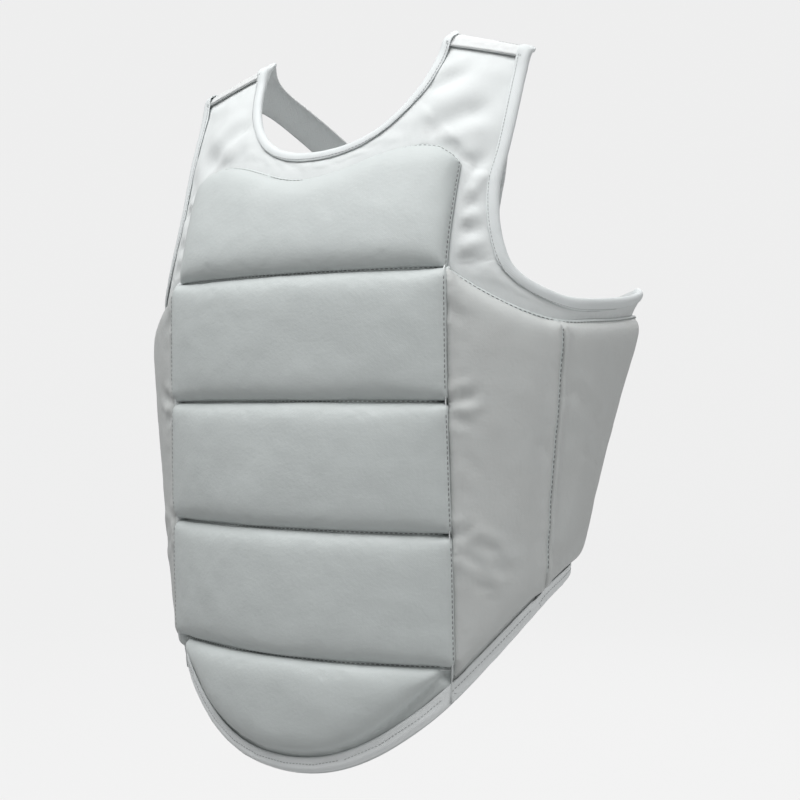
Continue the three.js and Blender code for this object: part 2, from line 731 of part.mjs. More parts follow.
function armholeTape() {
  const width = TAPE_WIDTH.armhole;
  const round = yokeEdge(width, DIVISIONS.neckColumns + DIVISIONS.strapColumns + 1);
  const edge = [...strapEdge(1, width).reverse(), ...round];
  return tape(spaced(edge, TAPE_STEP.edge), { outward: 1, closed: false });
}

function hemTape() {
  const up = (turn) => TAPE_WIDTH.hem * Math.hypot(1, hemSlope(turn));
  const around = (turn) => ({
    ...stationAtTurn(turn, hemZ(turn)),
    flapStation: stationAtTurn(turn, hemZ(turn) + up(turn)),
    thickness: EDGE,
  });
  const tongueTurns = tongue.shares.map((share) => centreStation(share, tongueHemZ(share)).turn);
  const turns = [
    ...tongueTurns.filter((turn) => turn > -MIDDLE_SLACK),
    ...frontSide.hemEdge,
    ...rearSide.hemEdge,
    ...backTurns.filter((turn) => turn < Math.PI + MIDDLE_SLACK),
  ];
  const half = spaced(turns.map(around), TAPE_STEP.hem);
  return tape([...half, ...half.slice(1, -1).reverse().map(mirrorEdge)], { outward: -1, closed: true });
}

// Assembly

const protector = new THREE.Group();

function add(name, geometry, colour) {
  const material = new THREE.MeshStandardMaterial({ color: colour, roughness: 0.8, metalness: 0 });
  const mesh = new THREE.Mesh(geometry, material);
  mesh.name = name;
  protector.add(mesh);
}

function addPair(name, geometry, colour) {
  add('left_' + name, geometry, colour);
  add('right_' + name, mirrored(geometry), colour);
}

add('chest_pad', chest.geometry, COLOURS.pad);
['upper_rib_pad', 'lower_rib_pad', 'belly_pad'].forEach((name, above) => {
  add(name, channel(above).geometry, COLOURS.pad);
});
add('tongue_pad', tongue.geometry, COLOURS.pad);
addPair('front_side_pad', frontSide.geometry, COLOURS.pad);
addPair('rear_side_pad', rearSide.geometry, COLOURS.pad);
add('yoke', yokeGeometry(), COLOURS.yoke);
add('back_panel', backGeometry(), COLOURS.back);
add('left_back_strap', backStrapGeometry(true), COLOURS.strap);
add('right_back_strap', mirrored(backStrapGeometry(false)), COLOURS.strap);
add('neck_binding', neckTape(), COLOURS.tape);
addPair('armhole_binding', armholeTape(), COLOURS.tape);
add('hem_binding', hemTape(), COLOURS.tape);

export default protector;
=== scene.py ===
"""Looks of the body protector.

Padded covers, cloth yoke, straps, taped edges, stitches, light and camera.
"""

import json
import math
from contextlib import contextmanager

import bmesh
import bpy
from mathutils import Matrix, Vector, kdtree, noise
from mathutils.bvhtree import BVHTree

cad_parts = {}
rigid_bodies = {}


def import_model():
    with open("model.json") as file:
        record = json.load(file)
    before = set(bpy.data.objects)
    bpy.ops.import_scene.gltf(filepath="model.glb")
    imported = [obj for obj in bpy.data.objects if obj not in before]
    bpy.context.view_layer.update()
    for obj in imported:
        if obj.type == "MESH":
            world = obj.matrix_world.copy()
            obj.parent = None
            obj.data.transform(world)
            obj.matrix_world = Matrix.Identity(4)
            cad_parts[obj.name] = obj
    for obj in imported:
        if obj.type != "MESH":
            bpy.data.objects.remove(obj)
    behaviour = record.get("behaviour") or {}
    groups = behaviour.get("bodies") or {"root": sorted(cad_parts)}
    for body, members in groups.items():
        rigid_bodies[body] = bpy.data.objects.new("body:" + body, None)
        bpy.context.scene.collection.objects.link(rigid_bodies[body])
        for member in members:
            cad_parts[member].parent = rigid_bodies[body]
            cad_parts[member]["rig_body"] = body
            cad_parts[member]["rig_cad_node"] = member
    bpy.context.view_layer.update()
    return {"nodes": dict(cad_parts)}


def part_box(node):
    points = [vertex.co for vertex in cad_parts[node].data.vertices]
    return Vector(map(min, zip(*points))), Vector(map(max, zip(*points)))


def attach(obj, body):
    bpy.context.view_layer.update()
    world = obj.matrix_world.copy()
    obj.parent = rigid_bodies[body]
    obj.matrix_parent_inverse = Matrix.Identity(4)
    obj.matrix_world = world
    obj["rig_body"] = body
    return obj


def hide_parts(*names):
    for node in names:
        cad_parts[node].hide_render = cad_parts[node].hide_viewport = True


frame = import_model()

# Sizes in metres and angles in radians

MM = 0.001
WELD = 0.00002
BODY_AXIS_Y = 0.02
CHEST_LEVEL = -0.16
FACES_OUT = 0.3
QUAD_TURN = math.radians(70)
QUAD_SKEW = math.radians(100)
SHARP_EDGE = math.radians(60)

# Fade, step and octaves of the noise that makes cloth uneven

UNEVEN_NOISE = (1, 2, 3)

# Pads: how the covers swell over the foam

PAD_VOXEL = 2.5 * MM
PAD_ROUNDING = 2
PAD_FINISH = 1
PAD_PIN = (0.45, 0.8)
PAD_CLOTH = {"pressure": 3.0, "growth": 0.001, "stiffness": 12, "bending": 4,
             "frames": 14, "cap": 3.0 * MM}
PAD_UNEVEN = {"size": 34 * MM, "height": 0.55 * MM}
UPRIGHT = {"wall": 9.0 * MM, "fill": 3.0 * MM, "closing": 1.3 * MM, "width": 6.5 * MM,
           "shoulder": 2.0 * MM, "sink": 0.3 * MM}
TONGUE_CORNER = {"place": Vector((0.109, -0.07, -0.435)), "rise": 4.0 * MM, "width": 17 * MM,
                 "from_hem": (8 * MM, 14 * MM)}
PADS = {
    "chest_pad": ("pad_cover", 0.75),
    "upper_rib_pad": ("pad_cover", 0.8),
    "lower_rib_pad": ("pad_cover", 0.8),
    "belly_pad": ("pad_cover", 0.8),
    "tongue_pad": ("pad_cover", 0.75),
    "left_front_side_pad": ("side_cover", 0.65),
    "right_front_side_pad": ("side_cover", 0.65),
    "left_rear_side_pad": ("side_cover", 0.65),
    "right_rear_side_pad": ("side_cover", 0.65),
}

# Thin cloth: refinement, slack and unevenness of each sheet

SHEET_THICKNESS = 1.6 * MM
SHEET_PIN = (3 * MM, 11 * MM)
SHEET_UNEVEN = 20 * MM
YOKE_CLOTH = {"pressure": 0.5, "growth": 0.004, "stiffness": 8, "bending": 2,
              "frames": 14, "cap": 3.0 * MM}
BACK_CLOTH = {"pressure": 0.3, "growth": 0.006, "stiffness": 8, "bending": 1,
              "frames": 14, "cap": 2.5 * MM}
SHEETS = {
    "yoke": {"levels": 2, "cloth": YOKE_CLOTH, "uneven": 0.5 * MM},
    "back_panel": {"levels": 3, "cloth": BACK_CLOTH, "uneven": 0.6 * MM},
    "left_back_strap": {"levels": 2, "cloth": None, "uneven": 0.2 * MM},
    "right_back_strap": {"levels": 2, "cloth": None, "uneven": 0.2 * MM},
}
LINING = {"lap": 2.5 * MM, "sink": 0.4 * MM, "thickness": 0.8 * MM}

# Creases that the seams draw into the cloth, in millimetres. Side creases are for the left side

SIDE_CREASES = [
    {"from": (110, -72, -256), "to": (138, -61, -247), "depth": 1.5, "width": 4.0},
    {"from": (111, -72, -259), "to": (131, -65, -272), "depth": 1.0, "width": 4.0},
    {"from": (110, -70, -339), "to": (132, -60, -333), "depth": 1.4, "width": 3.6},
    {"from": (110, -69, -342), "to": (150, -36, -367), "depth": 2.3, "width": 5.0},
    {"from": (119, -67, -338), "to": (146, -44, -354), "depth": 1.5, "width": 4.0},
    {"from": (110, -74, -190), "to": (128, -68, -206), "depth": 0.9, "width": 4.0},
    {"from": (174, -16, -243), "to": (174, 38, -277), "depth": 1.3, "width": 5.0},
    {"from": (173, 8, -284), "to": (170, 44, -301), "depth": 1.1, "width": 4.5},
    {"from": (163, -20, -350), "to": (160, 20, -368), "depth": 1.0, "width": 5.0},
]
YOKE_CREASES = [
    {"from": (76, -34, -42), "to": (112, -16, -28), "depth": 2.2, "width": 6.5},
    {"from": (82, -46, -76), "to": (134, -24, -52), "depth": 2.8, "width": 7.0},
    {"from": (110, -55, -112), "to": (130, -37, -88), "depth": 2.6, "width": 5.5},
    {"from": (109, -60, -128), "to": (130, -50, -126), "depth": 2.2, "width": 4.5},
    {"from": (109, -66, -148), "to": (132, -50, -141), "depth": 1.9, "width": 4.5},
    {"from": (112, -70, -168), "to": (138, -52, -163), "depth": 1.2, "width": 5.0},
    {"from": (-74, -36, -46), "to": (-126, -38, -92), "depth": 2.0, "width": 7.0},
    {"from": (-88, -55, -86), "to": (-130, -20, -60), "depth": 1.8, "width": 7.0},
    {"from": (-110, -58, -120), "to": (-132, -44, -108), "depth": 2.0, "width": 5.0},
    {"from": (-110, -64, -142), "to": (-132, -52, -138), "depth": 1.8, "width": 4.5},
]
CREASE_FADE = (0.12, 0.45)
CREASE_RIDGE = 0.55
CREASE_RIDGE_AWAY = 2

# Tapes

TAPE_ROUNDING = 2
TAPE_SMOOTHING = {"factor": 0.5, "iterations": 3}
TAPE_RIPPLE = {"size": 11 * MM, "height": 0.2 * MM}
TAPE_REST = {"from": 1.5 * MM, "to": 7 * MM, "drop": 1.1 * MM}
HEM_RIDGE = {"width": 5.2 * MM, "height": 0.9 * MM}
HEM_CLOTH = ["tongue_pad", *(node for node in PADS if "side" in node), "back_panel"]
TAPED = {
    "neck_binding": ["yoke"],
    "left_armhole_binding": ["yoke"],
    "right_armhole_binding": ["yoke"],
    "hem_binding": HEM_CLOTH,
}

# Stitches and seams. The rays that find the cloth are in millimetres

STITCH = {"pitch": 3.3 * MM, "length": 2.5 * MM, "width": 0.75 * MM}
TAPE_STITCH = {"pitch": 2.6 * MM, "length": 2.1 * MM, "width": 0.55 * MM}
STITCH_SIDES = 6
STITCH_RINGS = 4
STITCH_LIFT = 0.1 * MM
TAPE_STITCH_LIFT = 0.12 * MM
ROW_RAY = {"above": 15, "length": 30}
SEW_RAY = {"above": 12, "length": 14}
EDGE_STEP = 3 * MM
LONGEST_STEP = 4 * EDGE_STEP
WAY_STEPS = 1
CENTRE_SIDE = 0.1105
SEAM_END = 0.1065
TOP_CLEAR = 2 * MM
HEM_WAY = 0.5
FRONT_SIDE_TOP = -0.206
SIDE_HEM = -0.365
WELT = 1.7 * MM
WELT_ROUNDING = 2
SEWN_WAY = {"hem_tape": (HEM_WAY, 1), "back_sheet": (-1, -HEM_WAY)}
ANY_WAY = (-1, 1)
SEWN_EDGES = {
    "neck_tape": (["yoke"], 5.0 * MM),
    "left_armhole_tape": (["yoke"], 6.3 * MM),
    "right_armhole_tape": (["yoke"], 6.3 * MM),
    "hem_tape": (HEM_CLOTH, 5.2 * MM),
    "back_sheet": (["back_panel"], 6.0 * MM),
    "left_strap_sheet": (["left_back_strap"], 4.0 * MM),
    "right_strap_sheet": (["right_back_strap"], 4.0 * MM),
}

# Cloth materials

MOTTLE = {"Size": 10 * MM, "Detail": 3}
CLOUD_SIZE = 26 * MM
GRAIN_SIZE = 2.2 * MM
# Cloth darkened along the seams: painted shade of the seam valleys, with some dust
DUST_AND_SHADE_CLOUD = 4 * MM
DUST_AND_SHADE_REACH = {"pad": 4 * MM, "tongue_pad": 2 * MM, "sheet": 5 * MM}
WEAVE_TURN = (0.6, 0.8)
PUCKER = 0.2 * MM
PUCKER_POWER = 5
SHEEN_ROUGHNESS = 0.45
SPECULAR = 0.35
GLOSS_SPREAD = 0.08
# clean and faded are the cloth's random tone; dusty is the seam colour, painted shade of the seam
# valleys with some dust
CLOTHS = {
    "pad_cover": {
        "clean": (0.635, 0.675, 0.67), "faded": (0.585, 0.625, 0.62), "dusty": (0.36, 0.38, 0.38),
        "dust": 0.65, "period": 1.1 * MM, "weave": 0.05 * MM, "grain": 0.16 * MM,
        "roughness": 0.55, "sheen": 0.12, "pucker": PUCKER},
    "side_cover": {
        "clean": (0.635, 0.66, 0.655), "faded": (0.585, 0.60, 0.59), "dusty": (0.36, 0.37, 0.36),
        "dust": 0.6, "period": 1.1 * MM, "weave": 0.05 * MM, "grain": 0.16 * MM,
        "roughness": 0.52, "sheen": 0.12, "pucker": PUCKER},
    "yoke_cloth": {
        "clean": (0.77, 0.80, 0.80), "faded": (0.74, 0.77, 0.77), "dusty": (0.5, 0.51, 0.51),
        "dust": 0.6, "period": 0.9 * MM, "weave": 0.05 * MM, "grain": 0.08 * MM,
        "roughness": 0.75, "sheen": 0.15},
    "back_cloth": {
        "clean": (0.76, 0.79, 0.79), "faded": (0.72, 0.75, 0.75), "dusty": (0.5, 0.51, 0.51),
        "dust": 0.6, "period": 1.4 * MM, "weave": 0.12 * MM, "grain": 0.06 * MM,
        "roughness": 0.62, "sheen": 0.15},
    # Strap cloth made paler: partly painted light on the far strap, whose inner side lies in shade
    "strap_cloth": {
        "clean": (0.85, 0.87, 0.87), "faded": (0.81, 0.83, 0.83), "dusty": (0.5, 0.51, 0.51),
        "dust": 0.6, "period": 1.8 * MM, "weave": 0.2 * MM, "grain": 0.05 * MM,
        "roughness": 0.6, "sheen": 0.15},
    "edge_tape": {
        "clean": (0.77, 0.805, 0.81), "faded": (0.74, 0.775, 0.78), "dusty": (0.45, 0.46, 0.46),
        "dust": 0.6, "period": 1.5 * MM, "weave": 0.12 * MM, "grain": 0.05 * MM,
        "roughness": 0.65, "sheen": 0.15},
    # Hem tape: the edge tape cloth made brighter, painted light on a hem that faces down and gets
    # less light
    "hem_tape": {
        "clean": (0.89, 0.92, 0.925), "faded": (0.86, 0.89, 0.895), "dusty": (0.5, 0.51, 0.51),
        "dust": 0.6, "period": 1.5 * MM, "weave": 0.12 * MM, "grain": 0.05 * MM,
        "roughness": 0.65, "sheen": 0.15},
    "tape_thread": {
        "clean": (0.52, 0.54, 0.54), "faded": (0.46, 0.48, 0.48), "dusty": (0.4, 0.4, 0.4),
        "dust": 0.3, "period": 0.5 * MM, "weave": 0.1 * MM, "grain": 0.02 * MM,
        "roughness": 0.5, "sheen": 0.1},
    # Dark thread: a grey thread darkened further with painted shade of its needle holes
    "thread": {
        "clean": (0.27, 0.285, 0.285), "faded": (0.21, 0.22, 0.22), "dusty": (0.25, 0.25, 0.25),
        "dust": 0.3, "period": 0.5 * MM, "weave": 0.1 * MM, "grain": 0.02 * MM,
        "roughness": 0.5, "sheen": 0.1},
}

# Studio, light and camera

SWEEP = {"radius": 2.2, "floor": -0.78, "wall": 1.2, "steps": 10, "sides": 96, "height": 2.5}
PAPER = {"grey": 0.06, "glow": 0.835, "bounce": 0.45}
CAMERA = {"place": (0.5249, -0.782, -0.2575), "aim": (0.0178, 0.0257, -0.2524), "lens": 58.23,
          "sensor": 36, "clip": 0.05}
LIGHTS = {
    "top_softbox": {"place": (-0.15, -0.8, 1.5), "aim": (0, 0, -0.2),
                    "size": (1.6, 1.2), "power": 42},
    "side_softbox": {"place": (1.6, -0.1, -0.1), "aim": (0.1, 0.02, -0.27),
                     "size": (1.4, 1.2), "power": 6},
    "back_softbox": {"place": (-0.2, 1.7, 0.7), "aim": (0, 0.05, -0.25),
                     "size": (1.6, 1.2), "power": 16},
}
WORLD_GLOW = 0.3


# Selecting and shaping

def only(piece):
    """Makes a piece the only selected object."""
    bpy.ops.object.select_all(action="DESELECT")
    piece.select_set(True)
    bpy.context.view_layer.objects.active = piece


@contextmanager
def editing(piece):
    only(piece)
    bpy.ops.object.mode_set(mode="EDIT")
    yield
    bpy.ops.object.mode_set(mode="OBJECT")


def applied(piece, kind, **values):
    """Adds a modifier with the given values and applies it."""
    modifier = piece.modifiers.new(kind.lower(), kind)
    for name, value in values.items():
        setattr(modifier, name, value)
    only(piece)
    bpy.ops.object.modifier_apply(modifier=modifier.name)


def outward(point):
    """The direction away from the wearer's body at a point."""
    return (point - Vector((0, BODY_AXIS_Y, min(point.z, CHEST_LEVEL)))).normalized()


def smooth(share):
    share = min(max(share, 0), 1)
    return share * share * (3 - 2 * share)


def cloth_copy(node, name):
    """A copy of a CAD node as one welded skin of quads, which can be reshaped."""
    only(frame["nodes"][node])
    bpy.ops.object.duplicate()
    piece = bpy.context.object
    piece.name = piece.data.name = name
    piece.parent = None
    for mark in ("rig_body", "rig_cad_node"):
        del piece[mark]
    piece.data.materials.clear()
    with editing(piece):
        bpy.ops.mesh.select_all(action="SELECT")
        bpy.ops.mesh.remove_doubles(threshold=WELD)
        bpy.ops.mesh.customdata_custom_splitnormals_clear()
        bpy.ops.mesh.tris_convert_to_quads(face_threshold=QUAD_TURN, shape_threshold=QUAD_SKEW)
    return piece


def skin_of(node, name, side):
    """The outer (side 1) or inner (side -1) face of a CAD cloth solid, as an open skin."""
    piece = cloth_copy(node, name)
    with editing(piece):
        bpy.ops.mesh.select_mode(type="FACE")
        bpy.ops.mesh.select_all(action="DESELECT")
    for face in piece.data.polygons:
        face.select = side * face.normal.dot(outward(face.center)) < FACES_OUT
    with editing(piece):
        bpy.ops.mesh.delete(type="FACE")
    return piece


def refined(piece, levels):
    applied(piece, "SUBSURF", levels=levels, render_levels=levels,
            boundary_smooth="PRESERVE_CORNERS")


def shifted(piece, steps):
    """Moves each point of a piece by its own step."""
    for vertex, step in zip(piece.data.vertices, steps):
        vertex.co += step


def moved(piece, push):
    """Moves every point of a piece along its normal by push(point)."""
    shifted(piece, [vertex.normal * push(vertex.co) for vertex in piece.data.vertices])


def lifted(piece, height):
    """Moves every point on the outer face of a piece off the body by height(point)."""
    steps = []
    for vertex in piece.data.vertices:
        away = outward(vertex.co)
        steps.append(away * height(vertex.co) * max(0, vertex.normal.dot(away)))
    shifted(piece, steps)


def lapped(piece, distance):
    """Lets the border of an open skin run on past its edge by a distance."""
    mesh = bmesh.new()
    mesh.from_mesh(piece.data)
    steps = {}
    for edge in mesh.edges:
        if edge.is_boundary:
            start, end = edge.verts
            away = (start.co + end.co) / 2 - edge.link_faces[0].calc_center_median()
            away = (away - away.project(end.co - start.co)).normalized()
            for vertex in edge.verts:
                steps[vertex] = steps.get(vertex, Vector()) + away
    for vertex, step in steps.items():
        vertex.co += step.normalized() * distance
    mesh.to_mesh(piece.data)
    mesh.free()


def swollen(piece, weights, pressure, growth, stiffness, bending, frames, cap):
    """Lets cloth with pinned points swell under pressure, and caps how far it moves."""
    group = piece.vertex_groups.new(name="pinned")
    for number, weight in enumerate(weights):
        group.add([number], weight, "REPLACE")
    before = [vertex.co.copy() for vertex in piece.data.vertices]
    cloth = piece.modifiers.new("cloth", "CLOTH")
    settings = cloth.settings
    settings.vertex_group_mass = group.name
    settings.use_pressure = True
    settings.uniform_pressure_force = pressure
    settings.shrink_min = -growth
    settings.tension_stiffness = settings.compression_stiffness = stiffness
    settings.bending_stiffness = bending
    settings.effector_weights.gravity = 0
    cloth.collision_settings.use_collision = False
    cloth.point_cache.frame_end = frames
    for number in range(1, frames + 1):
        bpy.context.scene.frame_set(number)
    only(piece)
    bpy.ops.object.modifier_apply(modifier=cloth.name)
    bpy.context.scene.frame_set(1)
    for vertex, start in zip(piece.data.vertices, before):
        step = vertex.co - start
        if step.length > cap:
            vertex.co = start + step * (cap / step.length)
    piece.vertex_groups.clear()


def crease_list(rows, mirror=1):
    """Creases as places in metres. Mirror -1 gives the wearer's other side."""
    side = Vector((mirror, 1, 1)) * MM
    return [
        {
            "start": Vector(row["from"]) * side,
            "along": (Vector(row["to"]) - Vector(row["from"])) * side,
            "depth": row["depth"] * MM,
            "width": row["width"] * MM,
        }
        for row in rows
    ]


def crease_push(point, creases):
    """How far creases push a point of the cloth out: in along their line, out beside it."""
    push = 0
    for crease in creases:
        along = crease["along"]
        share = (point - crease["start"]).dot(along) / along.length_squared
        fade = smooth(min(share / CREASE_FADE[0], (1 - share) / CREASE_FADE[1]))
        if fade > 0:
            away = (point - crease["start"] - share * along).length / crease["width"]
            ridge = CREASE_RIDGE * math.exp(-(away - CREASE_RIDGE_AWAY) ** 2)
            push += fade * crease["depth"] * (ridge - math.exp(-away * away))
    return push


def unevenness(point, size, height):
    return height * noise.fractal(point / size, *UNEVEN_NOISE)


# Edges and seams of the CAD solids

def edge_runs(node):
    """The runs of edge of a CAD cloth solid, each an ordered list of points.

    A point has its place, outward normal, height of wall and the way into the cloth.
    """
    solid = cloth_copy(node, node + "_edges")
    mesh = bmesh.new()
    mesh.from_mesh(solid.data)
    bpy.data.objects.remove(solid)

    def inner(face):
        return face.normal.dot(outward(face.calc_center_median())) < -FACES_OUT

    rim = [edge for edge in mesh.edges if sum(inner(face) for face in edge.link_faces) == 1]
    beside = {}
    for edge in rim:
        for vertex in edge.verts:
            beside.setdefault(vertex, []).append(edge.other_vert(vertex))
    next_to = dict(beside)
    runs = []
    for vertex in sorted(beside, key=lambda vertex: len(beside[vertex]) == 2):
        run = []
        while vertex in beside:
            run.append(vertex)
            following = beside.pop(vertex)
            vertex = next((other for other in following if other in beside), None)
        if run:
            onward = [other for other in next_to[run[-1]] if other not in run[-2:]]
            runs.append(run + onward[:1])
    result = []
    for run in runs:
        points = []
        for vertex in run:
            faces = [face for face in vertex.link_faces if inner(face)]
            normal = -sum((face.normal for face in faces), Vector()).normalized()
            ends = [edge.other_vert(vertex).co for edge in vertex.link_edges]
            wall = max((end - vertex.co).dot(normal) for end in ends)
            centres = [face.calc_center_median() for face in faces]
            inside = sum(centres, Vector()) / len(faces) - vertex.co
            points.append({"place": vertex.co.copy(), "normal": normal,
                           "wall": wall, "inside": inside})
        result.append(with_ways(close_points(points)))
    mesh.free()
    return result


def close_points(run):
    """The points of an edge with more between them, at most a step apart."""
    points = []
    for here, there in zip(run, run[1:]):
        count = max(1, math.ceil((there["place"] - here["place"]).length / EDGE_STEP))
        for share in (number / count for number in range(count)):
            point = {name: here[name].lerp(there[name], share)
                     for name in ("place", "normal", "inside")}
            points.append({**point, "wall": here["wall"] + (there["wall"] - here["wall"]) * share})
    return points


def with_ways(points):
    """Gives each edge point the way into the cloth, square to the edge, and an even normal."""
    count = len(points)

    def near(number, reach):
        around = [points[(number + step) % count] for step in range(-reach, reach + 1)]
        return [other for other in around
                if (other["place"] - points[number]["place"]).length < (reach + 1) * EDGE_STEP]

    for number, point in enumerate(points):
        beside = near(number, 1)
        along = beside[-1]["place"] - beside[0]["place"]
        way = point["inside"]
        if along.length > 0:
            way = way - way.project(along)
        point["way"] = (way - way.project(point["normal"])).normalized()
    evened = []
    for number in range(count):
        beside = near(number, WAY_STEPS)
        evened.append([sum((other[name] for other in beside), Vector()).normalized()
                       for name in ("way", "normal")])
    for point, (way, normal) in zip(points, evened):
        point["way"], point["up"] = way, normal
    return points


def split_runs(points, kept, longest):
    """Cuts a list of points where one isn't kept or the next is too far."""
    runs, run = [], []
    for point, keep in zip(points, kept):
        if run and (not keep or (point - run[-1]).length > longest):
            runs.append(run)
            run = []
        if keep:
            run.append(point)
    runs.append(run)
    return [run for run in runs if len(run) > 1]


def seam_top(point):
    return point["place"] + point["normal"] * point["wall"]


def upright_seams():
    """Points along the tops of the pads' upright seams, which stay shallow."""
    runs = [run for node in PADS for run in EDGES[node]]
    return points_tree([seam_top(point) for run in runs for point in run
                        if point["wall"] > UPRIGHT["wall"]])


def upright_fill(point, uprights, most):
    """How far the foam pushes a point near an upright seam."""
    return most * math.exp(-(uprights.find(point)[2] / UPRIGHT["width"]) ** 2)


def points_tree(points):
    tree = kdtree.KDTree(len(points))
    for number, point in enumerate(points):
        tree.insert(point, number)
    tree.balance()
    return tree


# Stitches

def line_through(points, name):
    """A curve of straight stretches through points."""
    path = bpy.data.curves.new(name, "CURVE")
    path.dimensions = "3D"
    spline = path.splines.new("POLY")
    spline.points.add(len(points) - 1)
    for knot, point in zip(spline.points, points):
        knot.co = (*point, 1)
    line = bpy.data.objects.new(name, path)
    bpy.context.scene.collection.objects.link(line)
    return line


def stitch_row(points, pitch, length, width):
    """Stitches along points: one stitch, repeated by an array and laid along a curve."""
    line = line_through(points, "stitch_path")
    path = line.data
    run = sum((after - before).length for before, after in zip(points, points[1:]))
    bpy.ops.object.select_all(action="DESELECT")
    bpy.ops.mesh.primitive_uv_sphere_add(
        segments=STITCH_SIDES, ring_count=STITCH_RINGS, radius=0.5, rotation=(0, math.pi / 2, 0))
    stitch = bpy.context.object
    bpy.ops.object.transform_apply(rotation=True)
    with editing(stitch):
        bpy.ops.mesh.select_all(action="SELECT")
        bpy.ops.transform.resize(value=(length, width, width))
        bpy.ops.transform.translate(value=(pitch / 2, 0, 0))
    applied(stitch, "ARRAY", count=max(1, int(run / pitch)), use_relative_offset=False,
            use_constant_offset=True, constant_offset_displace=(pitch, 0, 0))
    applied(stitch, "CURVE", object=line, deform_axis="POS_X")
    bpy.data.objects.remove(line)
    bpy.data.curves.remove(path)
    return stitch


def seam_welt(points, radius):
    """The cover cloth drawn down to a narrow line at the bottom of a seam."""
    welt = line_through(points, "seam_welt")
    welt.data.bevel_depth = radius
    welt.data.bevel_resolution = WELT_ROUNDING
    welt.data.use_fill_caps = True
    only(welt)
    bpy.ops.object.convert(target="MESH")
    return bpy.context.object


def joined(pieces, name):
    bpy.ops.object.select_all(action="DESELECT")
    for piece in pieces:
        piece.select_set(True)
    bpy.context.view_layer.objects.active = pieces[0]
    bpy.ops.object.join()
    piece = bpy.context.object
    piece.name = piece.data.name = name
    only(piece)
    bpy.ops.object.shade_smooth()
    return piece


def surface_of(*pieces):
    """The joined surface of some pieces, for casting rays at it."""
    corners, faces = [], []
    for piece in pieces:
        first = len(corners)
        corners += [vertex.co.copy() for vertex in piece.data.vertices]
        faces += [[first + number for number in face.vertices] for face in piece.data.polygons]
    return BVHTree.FromPolygons(corners, faces)


# Materials

def node_group(name, inputs, outputs):
    """An empty shader group with named inputs and outputs."""
    group = bpy.data.node_groups.new(name, "ShaderNodeTree")
    for label, default in inputs.items():
        socket = group.interface.new_socket(label, in_out="INPUT", socket_type="NodeSocketFloat")
        socket.default_value = default
    for label in outputs:
        group.interface.new_socket(label, in_out="OUTPUT", socket_type="NodeSocketFloat")
    return group, group.nodes.new("NodeGroupInput"), group.nodes.new("NodeGroupOutput")


def maths(tree, operation, first, second=None):
    """A Math node over sockets or numbers. Gives its output."""
    node = tree.nodes.new("ShaderNodeMath")
    node.operation = operation
    for socket, value in zip(node.inputs, (first, second)):
        if isinstance(value, bpy.types.NodeSocket):
            tree.links.new(value, socket)
        elif value is not None:
            socket.default_value = value
    return node.outputs[0]


def mixed(tree, factor, first, second):
    """A Mix node over two number sockets."""
    node = tree.nodes.new("ShaderNodeMix")
    for number, value in ((0, factor), (2, first), (3, second)):
        tree.links.new(value, node.inputs[number])
    return node.outputs[0]


def weave_group():
    """Crossing threads, as a height from 0 to 1, which follow whichever way the surface faces."""
    group, inputs, outputs = node_group("plain_weave", {"Period": MM}, ["Height"])
    place = group.nodes.new("ShaderNodeTexCoord")
    across = group.nodes.new("ShaderNodeSeparateXYZ")
    facing = group.nodes.new("ShaderNodeSeparateXYZ")
    group.links.new(place.outputs["Object"], across.inputs[0])
    group.links.new(place.outputs["Normal"], facing.inputs[0])
    turns = maths(group, "DIVIDE", math.tau, inputs.outputs["Period"])
    threads = [maths(group, "SINE", maths(group, "MULTIPLY", axis, turns))
               for axis in across.outputs]

    def faces(axis):
        share = group.nodes.new("ShaderNodeMapRange")
        share.interpolation_type = "SMOOTHSTEP"
        share.inputs["From Min"].default_value, share.inputs["From Max"].default_value = WEAVE_TURN
        group.links.new(maths(group, "ABSOLUTE", facing.outputs[axis]), share.inputs["Value"])
        return share.outputs[0]

    warp = mixed(group, faces(0), threads[0], threads[1])
    weft = mixed(group, faces(2), threads[2], threads[1])
    crossed = maths(group, "MULTIPLY", warp, weft)
    height = maths(group, "ADD", maths(group, "MULTIPLY", crossed, 0.5), 0.5)
    group.links.new(height, outputs.inputs["Height"])
    return group


def mottle_group():
    """Soft cloudy variation from 0 to 1."""
    group, inputs, outputs = node_group("cloth_mottle", MOTTLE, ["Cloud"])
    place = group.nodes.new("ShaderNodeTexCoord")
    cloud = group.nodes.new("ShaderNodeTexNoise")
    group.links.new(place.outputs["Object"], cloud.inputs["Vector"])
    group.links.new(maths(group, "DIVIDE", 1, inputs.outputs["Size"]), cloud.inputs["Scale"])
    group.links.new(inputs.outputs["Detail"], cloud.inputs["Detail"])
    group.links.new(cloud.outputs[0], outputs.inputs["Cloud"])
    return group


def seam_group():
    """Darkening along the seams, broken up by a fine cloud: painted shade of the seam valleys,
    with some dust.
    """
    group, inputs, outputs = node_group("seam_dust", {"Amount": 0.5}, ["Dust"])
    near = group.nodes.new("ShaderNodeAttribute")
    near.attribute_name = "seam"
    cloud = placed(group, "cloth_mottle", Size=DUST_AND_SHADE_CLOUD)
    broken = maths(group, "MULTIPLY", near.outputs["Fac"], cloud)
    dust = maths(group, "MULTIPLY", broken, inputs.outputs["Amount"])
    group.links.new(dust, outputs.inputs["Dust"])
    return group


